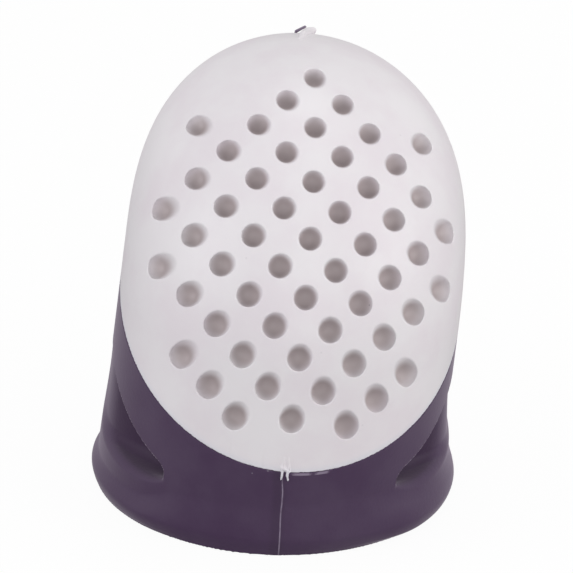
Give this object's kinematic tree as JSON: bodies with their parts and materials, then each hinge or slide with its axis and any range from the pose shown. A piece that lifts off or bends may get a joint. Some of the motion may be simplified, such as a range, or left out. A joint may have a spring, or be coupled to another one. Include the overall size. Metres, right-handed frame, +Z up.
{
  "type": "sewing finger stall",
  "caption": "Finger stall in the form of a thimble: a hard pitted cap over the fingertip and pressing face, bonded to a soft sleeve with a flared rim and a scoop on each side.",
  "frame": {"origin": "middle of the rim's foot, on the surface that the stall stands on", "axes": "+Z up from the open rim to the fingertip, -Y towards the pitted pressing face at the front, +X to the right seen from the front"},
  "size_m": [0.0216, 0.0216, 0.0257],
  "materials": {
    "cap": "hard white moulded plastic, satin, with pressed pits",
    "sleeve": "soft dark purple rubber, dull with a faint sheen"
  },
  "bodies": {
    "root": {"dimpled_cap": "cap", "soft_sleeve": "sleeve"}
  },
  "joints": []
}
